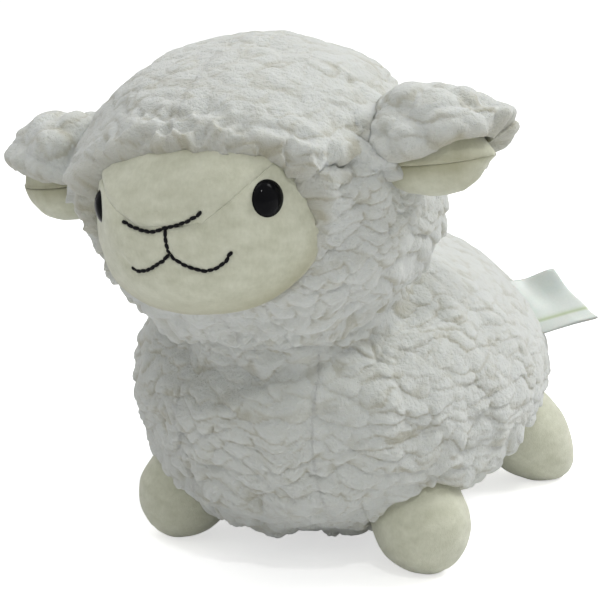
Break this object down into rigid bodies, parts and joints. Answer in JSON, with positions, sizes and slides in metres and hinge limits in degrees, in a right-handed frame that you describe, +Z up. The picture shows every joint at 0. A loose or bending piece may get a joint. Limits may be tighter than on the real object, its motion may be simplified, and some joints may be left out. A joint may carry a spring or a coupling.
{
  "type": "plush sheep",
  "caption": "Standing plush sheep in white sherpa fleece with a cream velour face, curled lined ears, velour paws, glossy eyes, an embroidered nose and mouth, and a loop label.",
  "frame": {"origin": "centre of the bounding box at the floor under the paws", "axes": "+Z up, the sheep faces -Y, its own left is +X"},
  "size_m": [0.1628, 0.2062, 0.1701],
  "materials": {
    "fleece": "white sherpa fleece, matt pile",
    "velour": "cream short-pile velour",
    "stuffing": "loose polyester fibre",
    "eye": "polished black",
    "washer": "plain moulded",
    "thread": "matt twisted embroidery thread",
    "seam_thread": "matt sewing thread",
    "label": "white woven satin with a pale green edge"
  },
  "bodies": {
    "torso": {"body_fleece_left": "fleece", "body_fleece_right": "fleece", "belly_fleece": "fleece", "body_stuffing": "stuffing"},
    "neck_ring": {"neck_seam": "seam_thread"},
    "neck_ball": {"neck_stuffing": "stuffing"},
    "head": {"head_fleece_left": "fleece", "head_fleece_right": "fleece", "face_bridge_panel": "velour", "face_cheek_panel": "velour", "head_stuffing": "stuffing", "left_eye": "eye", "right_eye": "eye", "left_eye_washer": "washer", "right_eye_washer": "washer", "nose_stitch": "thread", "philtrum_stitch": "thread", "left_mouth_stitch": "thread", "right_mouth_stitch": "thread"},
    "left_ear": {"left_ear_fleece": "fleece", "left_ear_lining": "velour"},
    "right_ear": {"right_ear_fleece": "fleece", "right_ear_lining": "velour"},
    "front_left_leg": {"front_left_leg_cover": "velour", "front_left_leg_stuffing": "stuffing"},
    "front_right_leg": {"front_right_leg_cover": "velour", "front_right_leg_stuffing": "stuffing"},
    "hind_left_leg": {"hind_left_leg_cover": "velour", "hind_left_leg_stuffing": "stuffing"},
    "hind_right_leg": {"hind_right_leg_cover": "velour", "hind_right_leg_stuffing": "stuffing"},
    "label": {"side_label": "label"}
  },
  "joints": [
    {"name": "head_turn", "type": "hinge", "parent": "torso", "child": "neck_ring", "pos_m": [0.0037, -0.02559, 0.08858], "axis": [0, -0.4226, 0.9063], "range_deg": [-12, 12], "stiffness_Nm_per_rad": 1},
    {"name": "head_tilt", "type": "hinge", "parent": "neck_ring", "child": "neck_ball", "pos_m": [0.0037, -0.02559, 0.08858], "axis": [0, 0.9063, 0.4226], "range_deg": [-3, 7], "stiffness_Nm_per_rad": 1},
    {"name": "head_nod", "type": "hinge", "parent": "neck_ball", "child": "head", "pos_m": [0.0037, -0.02559, 0.08858], "axis": [1, 0, 0], "range_deg": [-2.5, 7], "stiffness_Nm_per_rad": 1},
    {"name": "left_ear_swing", "type": "hinge", "parent": "head", "child": "left_ear", "pos_m": [0.04965, -0.05272, 0.13691], "axis": [-0.1223, -0.2706, 0.9549], "range_deg": [-15, 15], "stiffness_Nm_per_rad": 0.02},
    {"name": "right_ear_swing", "type": "hinge", "parent": "head", "child": "right_ear", "pos_m": [-0.04648, -0.05272, 0.12459], "axis": [-0.1223, -0.2706, 0.9549], "range_deg": [-15, 15], "stiffness_Nm_per_rad": 0.02},
    {"name": "front_left_leg_swing", "type": "hinge", "parent": "torso", "child": "front_left_leg", "pos_m": [0.0429, -0.0155, 0.01916], "axis": [1, 0, 0], "range_deg": [-12, 12], "stiffness_Nm_per_rad": 0.5},
    {"name": "front_right_leg_swing", "type": "hinge", "parent": "torso", "child": "front_right_leg", "pos_m": [-0.0355, -0.0155, 0.01916], "axis": [1, 0, 0], "range_deg": [-12, 12], "stiffness_Nm_per_rad": 0.5},
    {"name": "hind_left_leg_swing", "type": "hinge", "parent": "torso", "child": "hind_left_leg", "pos_m": [0.0384, 0.0761, 0.02626], "axis": [1, 0, 0], "range_deg": [-12, 12], "stiffness_Nm_per_rad": 0.5},
    {"name": "hind_right_leg_swing", "type": "hinge", "parent": "torso", "child": "hind_right_leg", "pos_m": [-0.031, 0.0761, 0.02626], "axis": [1, 0, 0], "range_deg": [-12, 12], "stiffness_Nm_per_rad": 0.5},
    {"name": "label_flap", "type": "hinge", "parent": "torso", "child": "label", "pos_m": [0.05599, 0.05656, 0.07441], "axis": [0.4856, 0.215, -0.8473], "range_deg": [-30, 30], "stiffness_Nm_per_rad": 0.001}
  ]
}
